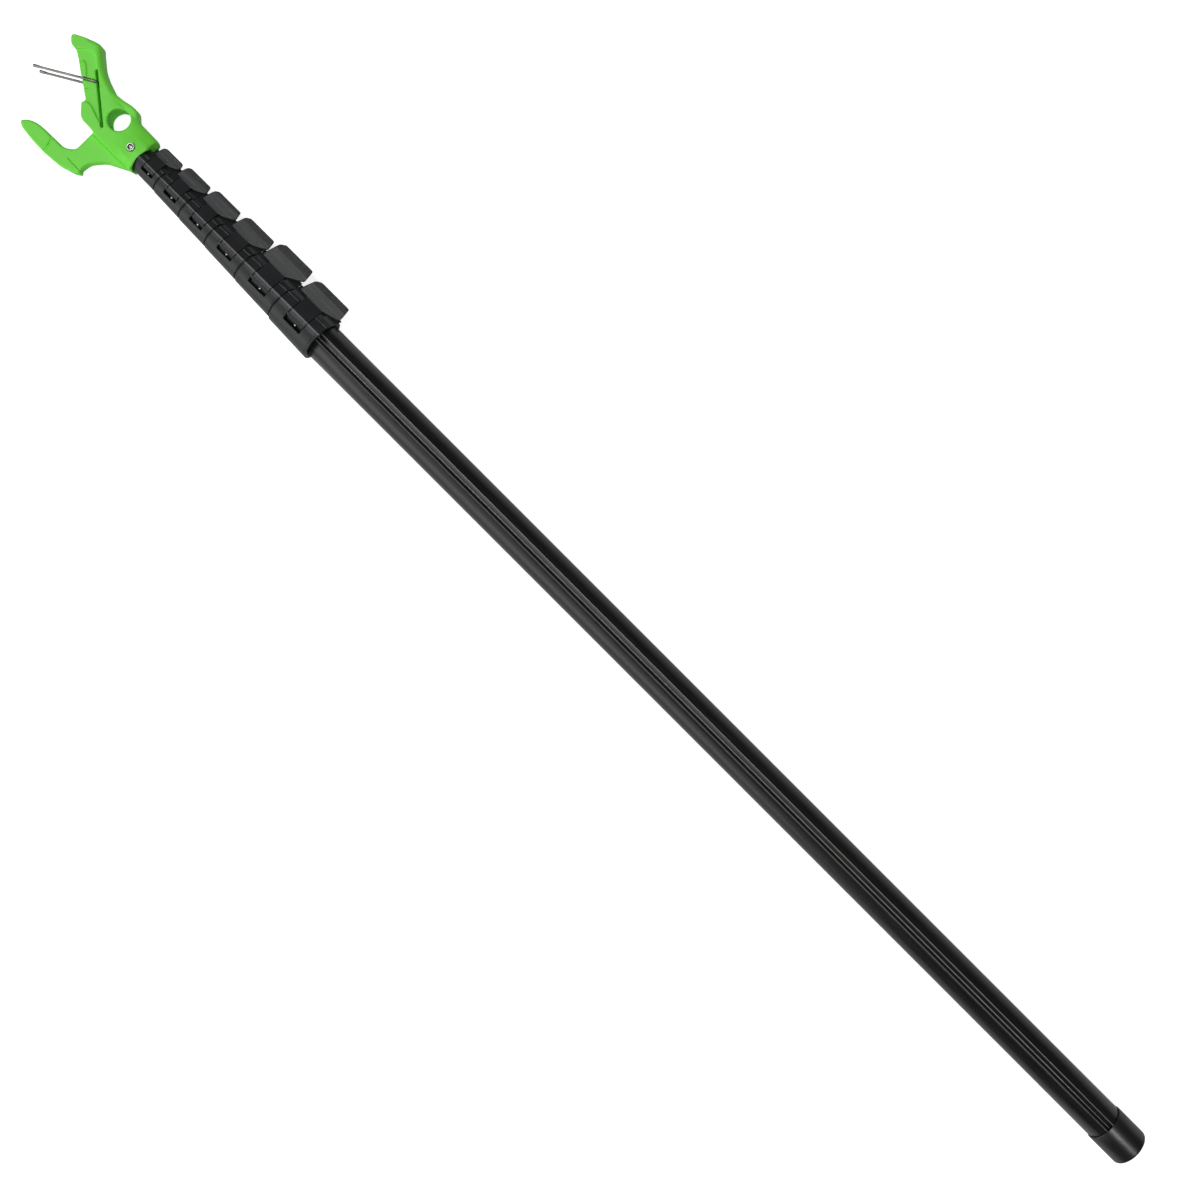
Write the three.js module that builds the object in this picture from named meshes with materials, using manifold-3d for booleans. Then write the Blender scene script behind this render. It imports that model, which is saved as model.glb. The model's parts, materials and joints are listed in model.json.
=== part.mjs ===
// Telescopic reach pole: seven nested grooved tubes, six cam-lever locking collars, an end cap,
// and a moulded head with a hook, a slotted jaw and a spring-wire hairpin.
// Millimetres. The pole lies along +X, butt at x = 0. +Y is the hook side, the levers are on -Y,
// and +Z is the side that the grooves, the levers and the face of the head look towards.
import * as THREE from "three";
import { mergeVertices } from "three/addons/utils/BufferGeometryUtils.js";
import Module from "manifold-3d";

const wasm = await Module();
wasm.setup();

// ---------------------------------------------------------------- driving dimensions
const TUBE_COUNT = 7;
const OUTER_TUBE_RADIUS = 14;
const TUBE_RADIUS_STEP = 1.5;
const TUBE_WALL = 1.1;
const TUBE_BOTTOM = 4; // where the outer tube starts, inside the end cap
const GROOVE_DEPTH = 2.2;
const GROOVE_FLOOR_HALF = 0.6;
const GROOVE_SLOPE = Math.tan(THREE.MathUtils.degToRad(55));
const SLIDING_GAP = 0.2;
const PART_GAP = 0.3;

const CAP_RADIUS = 14.75;
const CAP_LENGTH = 26.7;
const CAP_FLOOR = 3.5;
const CAP_EDGE = 2;
const CAP_SIDES = 36;

// Collars from the butt to the head: where each starts, its end radii, its lever's reach past its
// lug, and how far its lever stops below and above its ends.
const COLLARS = [
  { start: 811.6, butt: 17.3, nose: 15.9, lug: 18.5, tip: 29.1, below: 1.8, above: 4.1 },
  { start: 849.8, butt: 15.0, nose: 13.7, lug: 18.0, tip: 30.0, below: 2.6, above: 3.6 },
  { start: 885.9, butt: 13.4, nose: 12.2, lug: 17.8, tip: 25.7, below: 4.2, above: 5.0 },
  { start: 917.7, butt: 11.9, nose: 11.1, lug: 16.8, tip: 23.4, below: 4.6, above: 3.4 },
  { start: 944.7, butt: 10.8, nose: 9.9, lug: 15.5, tip: 21.1, below: 3.6, above: 4.4 },
  { start: 970.9, butt: 9.5, nose: 9.1, lug: 14.0, tip: 18.7, below: 4.2, above: 2.9 },
];
const LUG_FOOT = 0.6; // how far the lug's foot and shoulder step in from its reach
const LUG_SHOULDER = 1.2;
const TUCKED_NOSE = 3.2; // how far the last collar's nose reaches into the head
const SLEEVE_SHARE = 0.22; // share of a collar's length that holds the wider tube
// Where each lever's hub starts and ends, as shares of its collar's length.
const HUBS = [
  [0.3, 0.7],
  [0.26, 0.7],
  [0.26, 0.68],
  [0.26, 0.68],
  [0.26, 0.68],
  [0.26, 0.75],
];
const RIDGE_ANGLE = THREE.MathUtils.degToRad(3.7);
const FACET_END_ANGLE = THREE.MathUtils.degToRad(31);
const FACET_TILT = (RIDGE_ANGLE + FACET_END_ANGLE) / 2;
const FACET_SHARE = Math.cos((FACET_END_ANGLE - RIDGE_ANGLE) / 2);
const RECESS_SHARE = 0.92;
const WINDOW_NEAR = 0.29; // edges of the lever window, as shares of the collar's radius
const WINDOW_FAR = 0.49;
const SHOE_THICKNESS = 0.5;
const STUD_SHARE = 0.4; // where the shoe's stud is along the hub
const PIN_OVERHANG = 2; // how far a lever's pin runs into the collar past each end of the hub
const PIN_GAP = 0.12;
const PLATE_THICKNESS = 1.9;
const PLATE_CORNER = 1.6;
const SEAM = 0.35;

const HEAD_START = 990.8;
const HEAD_HALF = 7.5;
const BASE_HALF = 10;
const HOOK_HALF = 4;
const JAW_HALF = 5.8;
const BASE_LENGTH = 9;
const BASE_FADE = 20; // the base sinks into the body over this length
const BASE_FADE_SCALE = 0.66;
const SEAT_RADIUS = 9.4; // the round seat in the base for the last collar's nose
const SEAT_DEPTH = 3.5;
const SOCKET_DEPTH = 22;
const EYE = { along: 31.1, side: -8.7, radius: 8.6 };
const SLOT_WIDTH = 2.2;
const SCREW = { along: 10.3, side: -1.1, flange: 3.1, shank: 2, key: 1.6, seat: 1.2 };
const WIRE_RADIUS = 0.75;
const WIRE_SPREAD = 5.7;
// The groove under each leg of the wire: shallow on the jaw, deeper where the leg turns in.
const WIRE_GROOVES = [
  { share: 1.1, floor: WIRE_SPREAD - WIRE_RADIUS - PART_GAP },
  { share: 0.06, floor: 3.4 },
];
const PLUG_FLANGE = 3;
const PLUG_SPIGOT = 12;

const COLOURS = {
  tube: { color: 0x1a1a1c, roughness: 0.35, metalness: 0.8 },
  collar: { color: 0x2c2d2f, roughness: 0.55, metalness: 0 },
  lever: { color: 0x36373a, roughness: 0.5, metalness: 0 },
  steel: { color: 0xa8aaac, roughness: 0.3, metalness: 1 },
  shoe: { color: 0x3a3a3c, roughness: 0.5, metalness: 0.9 },
  plug: { color: 0x202022, roughness: 0.6, metalness: 0 },
  cap: { color: 0x151516, roughness: 0.3, metalness: 0 },
  head: { color: 0x5ad038, roughness: 0.4, metalness: 0 },
};

// ---------------------------------------------------------------- solids
function toSolid(geometry) {
  const bare = geometry.clone();
  bare.deleteAttribute("normal");
  bare.deleteAttribute("uv");
  const merged = mergeVertices(bare, 1e-4);
  const vertProperties = new Float32Array(merged.attributes.position.array);
  const triVerts = new Uint32Array(merged.index.array);
  return new wasm.Manifold(new wasm.Mesh({ numProp: 3, vertProperties, triVerts }));
}

function toGeometry(solid) {
  const mesh = solid.getMesh();
  const geometry = new THREE.BufferGeometry();
  geometry.setAttribute("position", new THREE.BufferAttribute(mesh.vertProperties, 3));
  geometry.setIndex(new THREE.BufferAttribute(mesh.triVerts, 1));
  geometry.computeVertexNormals();
  return geometry;
}

const root = new THREE.Group();

function addPiece(name, solid, look) {
  const material = new THREE.MeshStandardMaterial(COLOURS[look]);
  const mesh = new THREE.Mesh(toGeometry(solid), material);
  mesh.name = name;
  root.add(mesh);
}

function shapeOf(points) {
  return new THREE.Shape(points.map(([a, b]) => new THREE.Vector2(a, b)));
}

// A section drawn in the (Y, Z) plane and extruded along +X from x0 to x1.
const ALONG_X = new THREE.Matrix4().makeBasis(
  new THREE.Vector3(0, 1, 0),
  new THREE.Vector3(0, 0, 1),
  new THREE.Vector3(1, 0, 0),
);
function prismX(section, x0, x1, hole) {
  const shape = shapeOf(section);
  if (hole) shape.holes.push(shapeOf(hole));
  const geometry = new THREE.ExtrudeGeometry(shape, { depth: x1 - x0, bevelEnabled: false });
  geometry.applyMatrix4(ALONG_X);
  geometry.translate(x0, 0, 0);
  return toSolid(geometry);
}

// The same, with the section's sides and heights scaled evenly between the two ends.
function taperX(section, x0, x1, fromScale, toScale) {
  const depth = x1 - x0;
  const geometry = new THREE.ExtrudeGeometry(shapeOf(section), { depth, bevelEnabled: false });
  const points = geometry.attributes.position;
  for (let k = 0; k < points.count; k++) {
    const share = points.getZ(k) / depth;
    const [side, height] = fromScale.map((from, axis) => from + (toScale[axis] - from) * share);
    points.setXY(k, points.getX(k) * side, points.getY(k) * height);
  }
  geometry.applyMatrix4(ALONG_X);
  geometry.translate(x0, 0, 0);
  return toSolid(geometry);
}

// A plan drawn in the (X, Y) plane and extruded along +Z from z0 to z1.
function prismZ(plan, z0, z1) {
  const geometry = new THREE.ExtrudeGeometry(shapeOf(plan), {
    depth: z1 - z0,
    bevelEnabled: false,
  });
  geometry.translate(0, 0, z0);
  return toSolid(geometry);
}

function arc(cy, cz, radius, from, to, steps) {
  return Array.from({ length: steps + 1 }, (_, i) => {
    const angle = from + ((to - from) * i) / steps;
    return [cy + radius * Math.cos(angle), cz + radius * Math.sin(angle)];
  });
}

function disc(cy, cz, radius, sides) {
  return arc(cy, cz, radius, 0, 2 * Math.PI, sides).slice(0, -1);
}

// A convex or concave outline with one corner radius on every corner that has room for it.
function rounded(points, radius, steps = 3) {
  const out = [];
  points.forEach((point, i) => {
    const here = new THREE.Vector2(...point);
    const before = new THREE.Vector2(...points.at(i - 1)).sub(here);
    const after = new THREE.Vector2(...points[(i + 1) % points.length]).sub(here);
    const cut = Math.min(radius, before.length() * 0.45, after.length() * 0.45);
    const a = before.normalize().multiplyScalar(cut).add(here);
    const b = after.normalize().multiplyScalar(cut).add(here);
    const curve = new THREE.QuadraticBezierCurve(a, here, b);
    out.push(...curve.getPoints(steps).map((p) => [p.x, p.y]));
  });
  return out;
}

// ---------------------------------------------------------------- tubes and their plugs
// A round outline with the lengthwise groove on its +Z side. floor is the groove's bottom.
function groovedOutline(radius, floor, steps) {
  const a = 1 + GROOVE_SLOPE ** 2;
  const offset = GROOVE_FLOOR_HALF - GROOVE_SLOPE * floor;
  const b = 2 * GROOVE_SLOPE * offset;
  const c = offset ** 2 - radius ** 2;
  const lipHeight = (-b + Math.sqrt(b * b - 4 * a * c)) / (2 * a);
  const lipSide = GROOVE_FLOOR_HALF + GROOVE_SLOPE * (lipHeight - floor);
  const lip = Math.atan2(lipHeight, lipSide);
  const round = arc(0, 0, radius, Math.PI - lip, 2 * Math.PI + lip, steps);
  return [...round, [GROOVE_FLOOR_HALF, floor], [-GROOVE_FLOOR_HALF, floor]];
}

const tubeRadius = (i) => OUTER_TUBE_RADIUS - i * TUBE_RADIUS_STEP;
const tubeSteps = (i) => 30 - 2 * i;
const tubeOutside = (i, gap) =>
  groovedOutline(tubeRadius(i) + gap, tubeRadius(i) - GROOVE_DEPTH + gap, tubeSteps(i));
const tubeInside = (i, gap) =>
  groovedOutline(
    tubeRadius(i) - TUBE_WALL - gap,
    tubeRadius(i) - GROOVE_DEPTH - TUBE_WALL - 1.5 * gap,
    tubeSteps(i),
  );

function collarLength(i) {
  const end = i + 1 < COLLARS.length ? COLLARS[i + 1].start : HEAD_START;
  return end - PART_GAP - COLLARS[i].start;
}

function tubeTop(i) {
  if (i === TUBE_COUNT - 1) return HEAD_START + SOCKET_DEPTH;
  return COLLARS[i].start + SLEEVE_SHARE * collarLength(i) - SLIDING_GAP;
}
const TUBE_LENGTH = tubeTop(0) - TUBE_BOTTOM; // every tube is cut to the same length

function makeTube(i) {
  const top = tubeTop(i);
  const tube = prismX(tubeOutside(i, 0), top - TUBE_LENGTH, top, tubeInside(i, 0));
  addPiece(`tube_${i + 1}`, tube, "tube");
}

// The plug closes the bottom of a sliding tube, and its flange guides it in the next wider tube.
function makePlug(i) {
  const bottom = tubeTop(i) - TUBE_LENGTH;
  const flangeTop = bottom - PART_GAP;
  const flange = prismX(tubeInside(i - 1, PART_GAP), flangeTop - PLUG_FLANGE, flangeTop);
  const spigot = prismX(tubeInside(i, PART_GAP), flangeTop - 0.5, bottom + PLUG_SPIGOT);
  addPiece(`tube_plug_${i + 1}`, flange.add(spigot), "plug");
}

// ---------------------------------------------------------------- locking collars and levers
// Everything a collar and its lever share, worked out from the collar's row.
function collarFrame(i) {
  const row = COLLARS[i];
  const length = collarLength(i);
  const radius = (row.butt + row.nose) / 2;
  const grip = tubeRadius(i + 1);
  const heel = (radius - grip - 0.4 - SHOE_THICKNESS) / 2; // the hub's radius about its pin
  const near = WINDOW_NEAR * radius;
  const pinSide = near - heel;
  const pinHeight = Math.sqrt((radius - heel) ** 2 - pinSide ** 2);
  const armThickness = 1.3 * heel;
  const rootSide = 0.62 * radius + 3.6;
  return {
    row,
    length,
    radius,
    grip,
    heel,
    near,
    far: WINDOW_FAR * radius,
    pinSide,
    pinHeight,
    pinRadius: 0.6 * heel,
    armThickness,
    rootSide,
    facet: FACET_SHARE * radius,
    hubFrom: row.start + HUBS[i][0] * length,
    hubTo: row.start + HUBS[i][1] * length,
    underBend: -0.05 * radius,
  };
}

// Height of a line parallel to the facet, at a distance from the pole's axis, above side y.
const facetHeight = (distance, y) =>
  (distance + y * Math.sin(FACET_TILT)) / Math.cos(FACET_TILT);

const onCircle = (radius, angle) => [-radius * Math.sin(angle), radius * Math.cos(angle)];

function collarSection(f) {
  const r = f.radius;
  const round = arc(0, 0, r, Math.PI / 2 + RIDGE_ANGLE, -Math.PI - 0.09, 25);
  const lug = f.row.lug;
  return [
    ...round,
    [-lug + LUG_FOOT, -0.1 * r],
    [-lug, 0.02 * r],
    [-lug, 0.3 * r],
    [-lug + LUG_SHOULDER, 0.42 * r],
    [-0.82 * r, 0.46 * r],
    onCircle(RECESS_SHARE * r, THREE.MathUtils.degToRad(50)),
    onCircle(RECESS_SHARE * r, THREE.MathUtils.degToRad(34)),
    onCircle(r, FACET_END_ANGLE),
  ];
}

// The collar's outside: its section narrows evenly from the butt end to the nose.
function taperedBody(f) {
  const from = f.row.butt / f.radius;
  const to = f.row.nose / f.radius;
  const { start } = f.row;
  return taperX(collarSection(f), start, start + f.length, [from, from], [to, to]);
}

// The last collar's nose, which has the ridge and the facet but no lug, so that the head covers it.
function tuckedNose(f) {
  const full = arc(0, 0, f.row.nose, Math.PI / 2 + RIDGE_ANGLE, -1.5 * Math.PI + FACET_END_ANGLE, 30);
  const end = f.row.start + f.length;
  return prismX(full, end - 1, end + PART_GAP + TUCKED_NOSE);
}

// The opening in the collar for the lever's hub and arm, right through to the bore at the window.
function pocket(f) {
  const floor = f.facet - f.armThickness - PART_GAP;
  const above = f.radius + 8;
  return prismX(
    [
      [f.far, above],
      [f.far, 0.5 * f.grip],
      [f.underBend, 0.5 * f.grip],
      [f.underBend, facetHeight(floor, f.underBend)],
      [-f.rootSide - 12, facetHeight(floor, -f.rootSide - 12)],
      [-f.rootSide - 12, above],
    ],
    f.hubFrom - SEAM,
    f.hubTo + SEAM,
  );
}

function makeCollar(i) {
  const f = collarFrame(i);
  const { start } = f.row;
  const end = start + f.length;
  const shoulder = start + SLEEVE_SHARE * f.length;
  let body = taperedBody(f);
  if (i === COLLARS.length - 1) body = body.add(tuckedNose(f));
  body = body.subtract(prismX(tubeOutside(i + 1, SLIDING_GAP), start - 1, end + 10));
  body = body.subtract(prismX(tubeOutside(i, SLIDING_GAP), start - 1, shoulder));
  body = body.subtract(pocket(f));
  const pinHole = disc(f.pinSide, f.pinHeight, f.pinRadius + PIN_GAP, 12);
  const reach = PIN_OVERHANG + PART_GAP;
  body = body.subtract(prismX(pinHole, f.hubFrom - reach, f.hubTo + reach));
  addPiece(`collar_${i + 1}`, body, "collar");
}

function armSection(f) {
  const under = f.facet - f.armThickness;
  const towardPin = Math.atan2(f.pinHeight, f.pinSide);
  const top = arc(0, 0, f.radius, towardPin, Math.PI / 2 + RIDGE_ANGLE, 3);
  const heel = arc(f.pinSide, f.pinHeight, f.heel, -Math.PI * 0.6, towardPin, 6).slice(0, -1);
  const root = -f.rootSide - 1.5;
  return [
    ...heel,
    ...top,
    [root, facetHeight(f.facet, root)],
    [root, facetHeight(under, root)],
    [f.underBend, facetHeight(under, f.underBend)],
  ];
}

function plateSection(f) {
  const root = -f.rootSide - 0.6;
  const tip = -f.row.tip;
  const width = root - tip;
  const rootHeight = facetHeight(f.facet, root);
  return [
    [root, rootHeight],
    [root - 0.35 * width, rootHeight - 0.3],
    [root - 0.75 * width, rootHeight + 0.3],
    [tip, rootHeight + 1.2],
    [tip, rootHeight + 1.2 - 0.8 * PLATE_THICKNESS],
    [root - 0.5 * width, rootHeight - 0.2 - PLATE_THICKNESS],
    [root, rootHeight - PLATE_THICKNESS],
  ];
}

// The paddle seen from above: a sloping nose-side edge and a cut corner beside the collar.
function platePlan(f) {
  const low = f.row.start - f.row.below;
  const high = f.row.start + f.length - f.row.above;
  const root = -f.rootSide - 0.6;
  const tip = -f.row.tip;
  const width = root - tip;
  const height = high - low;
  return rounded(
    [
      [high, root],
      [high - 0.02 * height, root - 0.3 * width],
      [high - 0.11 * height, root - 0.82 * width],
      [high - 0.24 * height, tip + 0.1],
      [low + 0.3, tip],
      [low, tip + 0.6 * width],
      [low + 0.34 * height, root],
    ],
    PLATE_CORNER,
  );
}

function makeLever(i) {
  const f = collarFrame(i);
  const low = f.row.start - f.row.below - 1;
  const high = f.row.start + f.length;
  const arm = prismX(armSection(f), f.hubFrom, f.hubTo);
  const plate = prismX(plateSection(f), low, high).intersect(prismZ(platePlan(f), -30, 60));
  const eye = prismX(disc(f.pinSide, f.pinHeight, f.pinRadius + PIN_GAP, 12), low, high);
  addPiece(`lever_${i + 1}`, arm.add(plate).subtract(eye), "lever");
}

function makeLeverPin(i) {
  const f = collarFrame(i);
  const round = disc(f.pinSide, f.pinHeight, f.pinRadius, 12);
  const pin = prismX(round, f.hubFrom - PIN_OVERHANG, f.hubTo + PIN_OVERHANG);
  addPiece(`lever_pin_${i + 1}`, pin, "steel");
}

// The curved shoe between the lever's cam and the tube, with the stud that shows in the window.
function makeBrakeShoe(i) {
  const f = collarFrame(i);
  const inner = f.grip + SLIDING_GAP;
  const outer = inner + SHOE_THICKNESS;
  const from = Math.acos((f.far - 0.4) / outer);
  const to = Math.acos((f.underBend + 0.4) / outer);
  const section = [...arc(0, 0, outer, from, to, 8), ...arc(0, 0, inner, to, from, 8)];
  const plate = prismX(section, f.hubFrom + 0.3, f.hubTo - 0.3);
  const studRadius = 0.24 * (f.far - f.near);
  const studSide = f.near + PART_GAP + studRadius;
  const low = Math.sqrt(outer ** 2 - (studSide - studRadius) ** 2) - 0.2;
  const high = Math.sqrt(f.radius ** 2 - studSide ** 2) - 1.2;
  const studAlong = f.hubFrom + STUD_SHARE * (f.hubTo - f.hubFrom);
  const stud = prismZ(disc(studAlong, studSide, studRadius, 10), low, high);
  addPiece(`brake_shoe_${i + 1}`, plate.add(stud), "shoe");
}

// ---------------------------------------------------------------- end cap
function makeEndCap() {
  const bore = OUTER_TUBE_RADIUS + SLIDING_GAP;
  const edge = new THREE.Path();
  edge.absarc(CAP_RADIUS - CAP_EDGE, CAP_EDGE, CAP_EDGE, -Math.PI / 2, 0, false);
  const profile = [
    new THREE.Vector2(0, 0),
    ...edge.getPoints(4),
    new THREE.Vector2(CAP_RADIUS, CAP_LENGTH - 0.3),
    new THREE.Vector2(CAP_RADIUS - 0.3, CAP_LENGTH),
    new THREE.Vector2(bore, CAP_LENGTH),
    new THREE.Vector2(bore, CAP_FLOOR),
    new THREE.Vector2(0, CAP_FLOOR),
  ];
  const cup = new THREE.LatheGeometry(profile, CAP_SIDES, Math.PI / CAP_SIDES);
  cup.rotateZ(-Math.PI / 2);
  addPiece("end_cap", toSolid(cup), "cap");
}

// ---------------------------------------------------------------- head
// Plans are drawn as [distance from the head's base, distance to the hook side].
const fromBase = (plan) => plan.map(([along, side]) => [HEAD_START + along, side]);

const BODY_PLAN = [
  [0, 10.8], [37, 10.8], [40, 9.9], [50, 9.6], [53.4, 7.3], [59, 1], [58, -2],
  [83.4, -19.8], [87.6, -22.5], [93, -22.8], [97.6, -27.6], [95.8, -29.8], [84, -35.8],
  [78, -37.4], [74.6, -34], [65.9, -26.9], [59.5, -23.6], [48.5, -19.8], [40, -20.6],
  [32, -22.4], [27, -22.4], [22, -17.4], [0, -16.7],
];
const HOOK_PLAN = [
  [39.4, 8], [39.4, 27.9], [46.4, 32.8], [57, 33], [70.4, 33.2], [77.6, 35.6], [82.4, 40.3],
  [79, 43.3], [66, 44.9], [54, 45.3], [41, 44.2], [28.6, 40.4], [25, 37.6], [27, 35.6],
  [26, 28.2], [18.6, 19.4], [0.4, 10.1], [0.4, 8],
];
// The flexible jaw is thinner than the body: this is the floor of its recess on each face.
const JAW_RECESS = [
  [39.5, 2.2], [51.8, -1.9], [56, -2], [60, 2], [90, -18], [86.5, -24.6], [81, -29],
  [76, -29.6], [66.5, -21.6], [37.6, 1.4],
];
const SLOT_FROM = [36.3, 3];
const SLOT_TO = [67, -22.2];
const WIRE_HEEL = [60.9, -17.2];
const WIRE_BEND = [96.4, 3.8];
const WIRE_TIP = [101.4, 6.6];

// A long straight-sided slot with round ends, between two centres.
function slotPlan([ax, ay], [bx, by], width) {
  const angle = Math.atan2(by - ay, bx - ax);
  const half = width / 2;
  return [
    ...arc(bx, by, half, angle - Math.PI / 2, angle + Math.PI / 2, 4),
    ...arc(ax, ay, half, angle + Math.PI / 2, angle + Math.PI * 1.5, 4),
  ];
}

// The base is ridged in the middle of its front and back, rounded on the lever side, and sinks
// into the body past its straight part.
function headBase() {
  const quarter = [
    [10.8, 7.2], [6, BASE_HALF - 0.3], [SCREW.side, BASE_HALF], [-9, BASE_HALF - 0.9],
    [-14.4, 7], [-16.9, 3],
  ];
  const back = quarter.map(([side, height]) => [side, -height]).reverse();
  const section = rounded([...quarter, ...back], 1.6);
  const straightEnd = HEAD_START + BASE_LENGTH;
  const straight = prismX(section, HEAD_START, straightEnd);
  const faded = [1, BASE_FADE_SCALE];
  return straight.add(taperX(section, straightEnd, straightEnd + BASE_FADE, [1, 1], faded));
}

function makeHead() {
  let head = prismZ(fromBase(rounded(BODY_PLAN, 2)), -HEAD_HALF, HEAD_HALF);
  head = head.add(headBase());
  head = head.add(prismZ(fromBase(rounded(HOOK_PLAN, 3)), -HOOK_HALF, HOOK_HALF));
  const recess = fromBase(JAW_RECESS);
  head = head.subtract(prismZ(recess, JAW_HALF, HEAD_HALF + 1));
  head = head.subtract(prismZ(recess, -HEAD_HALF - 1, -JAW_HALF));
  head = head.subtract(prismZ(fromBase(slotPlan(SLOT_FROM, SLOT_TO, SLOT_WIDTH)), -20, 20));
  head = head.subtract(prismZ(fromBase(disc(EYE.along, EYE.side, EYE.radius, 28)), -20, 20));
  for (const groove of WIRE_GROOVES) head = cutWireGroove(head, groove);
  const seat = prismX(disc(0, 0, SEAT_RADIUS, 36), HEAD_START - 1, HEAD_START + SEAT_DEPTH);
  head = head.subtract(seat);
  const last = TUBE_COUNT - 1;
  const socket = prismX(
    tubeOutside(last, SLIDING_GAP),
    HEAD_START - 1,
    HEAD_START + SOCKET_DEPTH + PART_GAP,
  );
  head = head.subtract(socket);
  const screw = (radius) => fromBase(disc(SCREW.along, SCREW.side, radius, 20));
  head = head.subtract(prismZ(screw(SCREW.shank + SLIDING_GAP), 0, 20));
  head = head.subtract(prismZ(screw(SCREW.flange + SLIDING_GAP), BASE_HALF - SCREW.seat, 20));
  addPiece("head_body", head, "head");
}

// A point on the hairpin's leg: 0 is at the slot, 1 at the bend near the tip.
function alongLeg(share) {
  return WIRE_HEEL.map((from, axis) => from + share * (WIRE_BEND[axis] - from));
}

// Cuts the groove that a leg lies in, on both faces: up to a share of the leg, down to a height.
function cutWireGroove(head, { share, floor }) {
  const plan = fromBase(slotPlan(WIRE_HEEL, alongLeg(share), 2 * (WIRE_RADIUS + PART_GAP)));
  const front = prismZ(plan, floor, HEAD_HALF + 1);
  const back = prismZ(plan, -HEAD_HALF - 1, -floor);
  return head.subtract(front).subtract(back);
}

// The socket screw that clamps the head on the innermost tube.
function makeHeadScrew() {
  const at = (radius, sides) => fromBase(disc(SCREW.along, SCREW.side, radius, sides));
  const tubeClear = tubeRadius(TUBE_COUNT - 1) + PART_GAP;
  const top = BASE_HALF + 0.3;
  const flangeFoot = BASE_HALF - SCREW.seat + PART_GAP;
  let screw = prismZ(at(SCREW.flange, 20), flangeFoot, top);
  screw = screw.add(prismZ(at(SCREW.shank, 16), tubeClear, flangeFoot + 0.1));
  screw = screw.subtract(prismZ(at(SCREW.key, 6), BASE_HALF - SCREW.key, top + 1));
  addPiece("head_screw", screw, "steel");
}

// One bent wire: two parallel legs on the jaw's faces, joined by a bridge through the slot.
function makeWireHairpin() {
  const place = ([along, side], z) => new THREE.Vector3(HEAD_START + along, side, z);
  const leg = (sign) => {
    const plan = [0.035, 0.1, 0.5, 0.95].map(alongLeg);
    return [...plan, WIRE_BEND, WIRE_TIP].map((p) => place(p, sign * WIRE_SPREAD));
  };
  const bridge = [0.75, 0, -0.75].map((share) => place(WIRE_HEEL, share * WIRE_SPREAD));
  const path = new THREE.CatmullRomCurve3(
    [...leg(1).reverse(), ...bridge, ...leg(-1)],
    false,
    "centripetal",
  );
  const section = shapeOf(disc(0, 0, WIRE_RADIUS, 8));
  const geometry = new THREE.ExtrudeGeometry(section, { steps: 56, extrudePath: path });
  addPiece("wire_hairpin", toSolid(geometry), "steel");
}

// ---------------------------------------------------------------- assembly
makeEndCap();
for (let i = 0; i < TUBE_COUNT; i++) makeTube(i);
for (let i = 1; i < TUBE_COUNT; i++) makePlug(i);
for (let i = 0; i < COLLARS.length; i++) {
  makeCollar(i);
  makeLever(i);
  makeLeverPin(i);
  makeBrakeShoe(i);
}
makeHead();
makeHeadScrew();
makeWireHairpin();

export default root;
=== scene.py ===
import json
import math

import bmesh
import bpy
import numpy as np
from mathutils import Matrix, Vector


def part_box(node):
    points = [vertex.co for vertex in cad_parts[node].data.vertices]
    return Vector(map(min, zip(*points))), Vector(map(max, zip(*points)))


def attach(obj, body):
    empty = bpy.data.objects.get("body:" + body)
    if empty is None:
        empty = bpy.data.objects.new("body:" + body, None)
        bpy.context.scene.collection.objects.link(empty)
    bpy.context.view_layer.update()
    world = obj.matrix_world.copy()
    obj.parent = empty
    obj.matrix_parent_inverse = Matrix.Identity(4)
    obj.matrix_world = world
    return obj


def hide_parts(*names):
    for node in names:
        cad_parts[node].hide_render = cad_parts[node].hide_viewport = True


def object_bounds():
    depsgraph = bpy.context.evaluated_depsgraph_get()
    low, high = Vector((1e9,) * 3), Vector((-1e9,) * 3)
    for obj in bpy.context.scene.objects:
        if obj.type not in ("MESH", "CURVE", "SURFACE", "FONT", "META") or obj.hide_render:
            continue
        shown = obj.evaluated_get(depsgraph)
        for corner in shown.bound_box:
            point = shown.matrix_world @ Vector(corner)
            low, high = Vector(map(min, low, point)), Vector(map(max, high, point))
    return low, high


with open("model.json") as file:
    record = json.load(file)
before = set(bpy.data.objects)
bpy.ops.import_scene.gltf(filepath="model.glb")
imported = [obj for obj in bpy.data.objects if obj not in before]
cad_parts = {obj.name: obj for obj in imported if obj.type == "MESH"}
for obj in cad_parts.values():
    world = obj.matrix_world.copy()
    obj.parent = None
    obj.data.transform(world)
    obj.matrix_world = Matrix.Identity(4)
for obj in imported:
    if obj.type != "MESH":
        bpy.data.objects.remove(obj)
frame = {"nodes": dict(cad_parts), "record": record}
CAD_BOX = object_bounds()
NODES = frame["nodes"]
MM = 0.001
SLOT_OF = {part["node"]: part["material_slot"] for part in frame["record"]["subparts"]}
BODY_OF = {
    name: body
    for body, names in frame["record"]["behaviour"]["bodies"].items()
    for name in names
}


def box_mm(node):
    """A CAD node's box corners, in millimetres."""
    low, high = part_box(node)
    return np.array(low) / MM, np.array(high) / MM


# ---------------------------------------------------------------- materials
PATCH_SCALE = 35.0
PATCH_DETAIL = 4.0
GLOSS_STOPS = (0.25, 0.75)
GRAIN_DETAIL = 2.0
GRAIN_HEIGHT = 0.0002


def principled(name, **values):
    mat = bpy.data.materials.new(name)
    mat.use_nodes = True
    tree = mat.node_tree
    shader = tree.nodes["Principled BSDF"]
    for key, value in values.items():
        shader.inputs[key.replace("_", " ")].default_value = value
    return mat, tree, shader


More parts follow.
